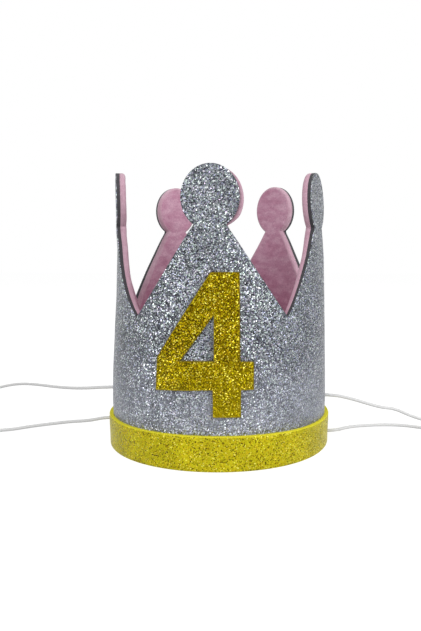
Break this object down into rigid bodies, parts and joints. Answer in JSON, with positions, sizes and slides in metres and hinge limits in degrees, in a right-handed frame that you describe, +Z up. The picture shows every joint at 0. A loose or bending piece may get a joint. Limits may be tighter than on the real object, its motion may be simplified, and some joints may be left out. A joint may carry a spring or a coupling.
{
  "type": "party crown",
  "caption": "Small round birthday crown of silver glitter foam with pointed finials, a felt lining, a gold foot band and digit, and elastic cords at its sides.",
  "frame": {"origin": "middle of the ring at the foot, on the surface that the crown stands on", "axes": "+Z up along the crown's axis, the front point and its digit face -Y, +X to the right seen from the front"},
  "size_m": [0.2948, 0.111, 0.1222],
  "materials": {
    "silver_glitter_foam": "silver glitter face on dark grey closed-cell foam, matte cut edges",
    "pink_felt": "matte needled felt",
    "gold_glitter_foam": "gold glitter face on yellow closed-cell foam",
    "white_elastic": "braided white elastic"
  },
  "bodies": {
    "root": {"crown_wall": "silver_glitter_foam", "felt_lining": "pink_felt", "base_band": "gold_glitter_foam", "number_four": "gold_glitter_foam", "left_upper_elastic": "white_elastic", "left_lower_elastic": "white_elastic", "right_upper_elastic": "white_elastic", "right_lower_elastic": "white_elastic", "left_upper_knot": "white_elastic", "left_lower_knot": "white_elastic", "right_upper_knot": "white_elastic", "right_lower_knot": "white_elastic", "left_elastic_coil": "white_elastic", "right_elastic_coil": "white_elastic"}
  },
  "joints": []
}
